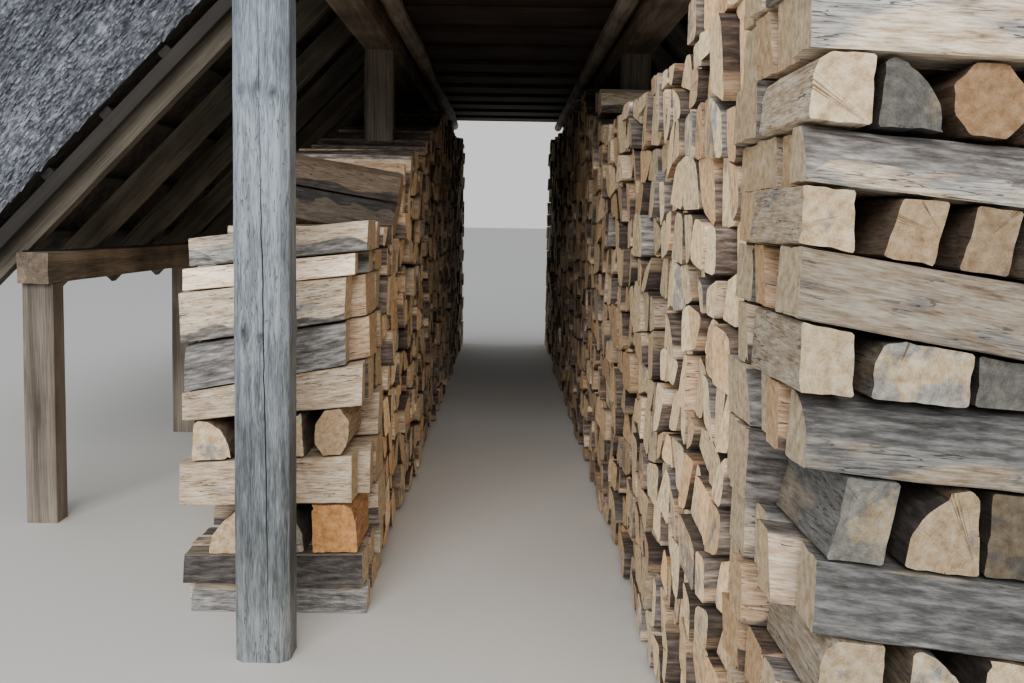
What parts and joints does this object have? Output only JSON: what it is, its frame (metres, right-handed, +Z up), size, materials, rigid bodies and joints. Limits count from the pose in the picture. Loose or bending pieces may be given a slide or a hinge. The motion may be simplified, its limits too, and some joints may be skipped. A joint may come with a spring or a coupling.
{
  "type": "thatched log store",
  "caption": "Open post-framed firewood store with a steep thatched roof: two long stacks of split logs either side of a straight covered passage.",
  "frame": {"origin": "on the ground, under the middle of the whole store", "axes": "+X across the passage to the right, +Y along the passage away from the open front, +Z up"},
  "size_m": [4.507, 9.758, 3.5741],
  "materials": {
    "split_firewood": "matte",
    "reed_thatch": "matte",
    "ridge_reed": "matte",
    "ceiling_boards": "matte",
    "weathered_post": "matte",
    "roof_timber": "matte"
  },
  "bodies": {
    "root": {"left_battens": "roof_timber", "left_ceiling_pole": "roof_timber", "left_eave_plate": "roof_timber", "left_eave_post_1": "roof_timber", "left_eave_post_2": "roof_timber", "left_eave_post_3": "roof_timber", "left_eave_post_4": "roof_timber", "left_far_pillar": "split_firewood", "left_near_pillar": "split_firewood", "left_plate": "roof_timber", "left_post_1": "weathered_post", "left_post_2": "roof_timber", "left_post_3": "roof_timber", "left_post_4": "roof_timber", "left_rafters": "roof_timber", "left_stack_bay_1": "split_firewood", "left_stack_bay_2": "split_firewood", "left_stack_bay_3": "split_firewood", "left_thatch": "reed_thatch", "left_top_logs": "split_firewood", "lower_ceiling_boards": "ceiling_boards", "ridge_roll": "ridge_reed", "right_battens": "roof_timber", "right_ceiling_pole": "roof_timber", "right_eave_plate": "roof_timber", "right_eave_post_1": "roof_timber", "right_eave_post_2": "roof_timber", "right_eave_post_3": "roof_timber", "right_eave_post_4": "roof_timber", "right_far_pillar": "split_firewood", "right_near_pillar": "split_firewood", "right_plate": "roof_timber", "right_post_1": "weathered_post", "right_post_2": "roof_timber", "right_post_3": "roof_timber", "right_post_4": "roof_timber", "right_rafters": "roof_timber", "right_stack_bay_1": "split_firewood", "right_stack_bay_2": "split_firewood", "right_stack_bay_3": "split_firewood", "right_stack_bay_4": "split_firewood", "right_thatch": "reed_thatch", "right_top_logs": "split_firewood", "upper_ceiling_boards": "ceiling_boards"}
  },
  "joints": []
}
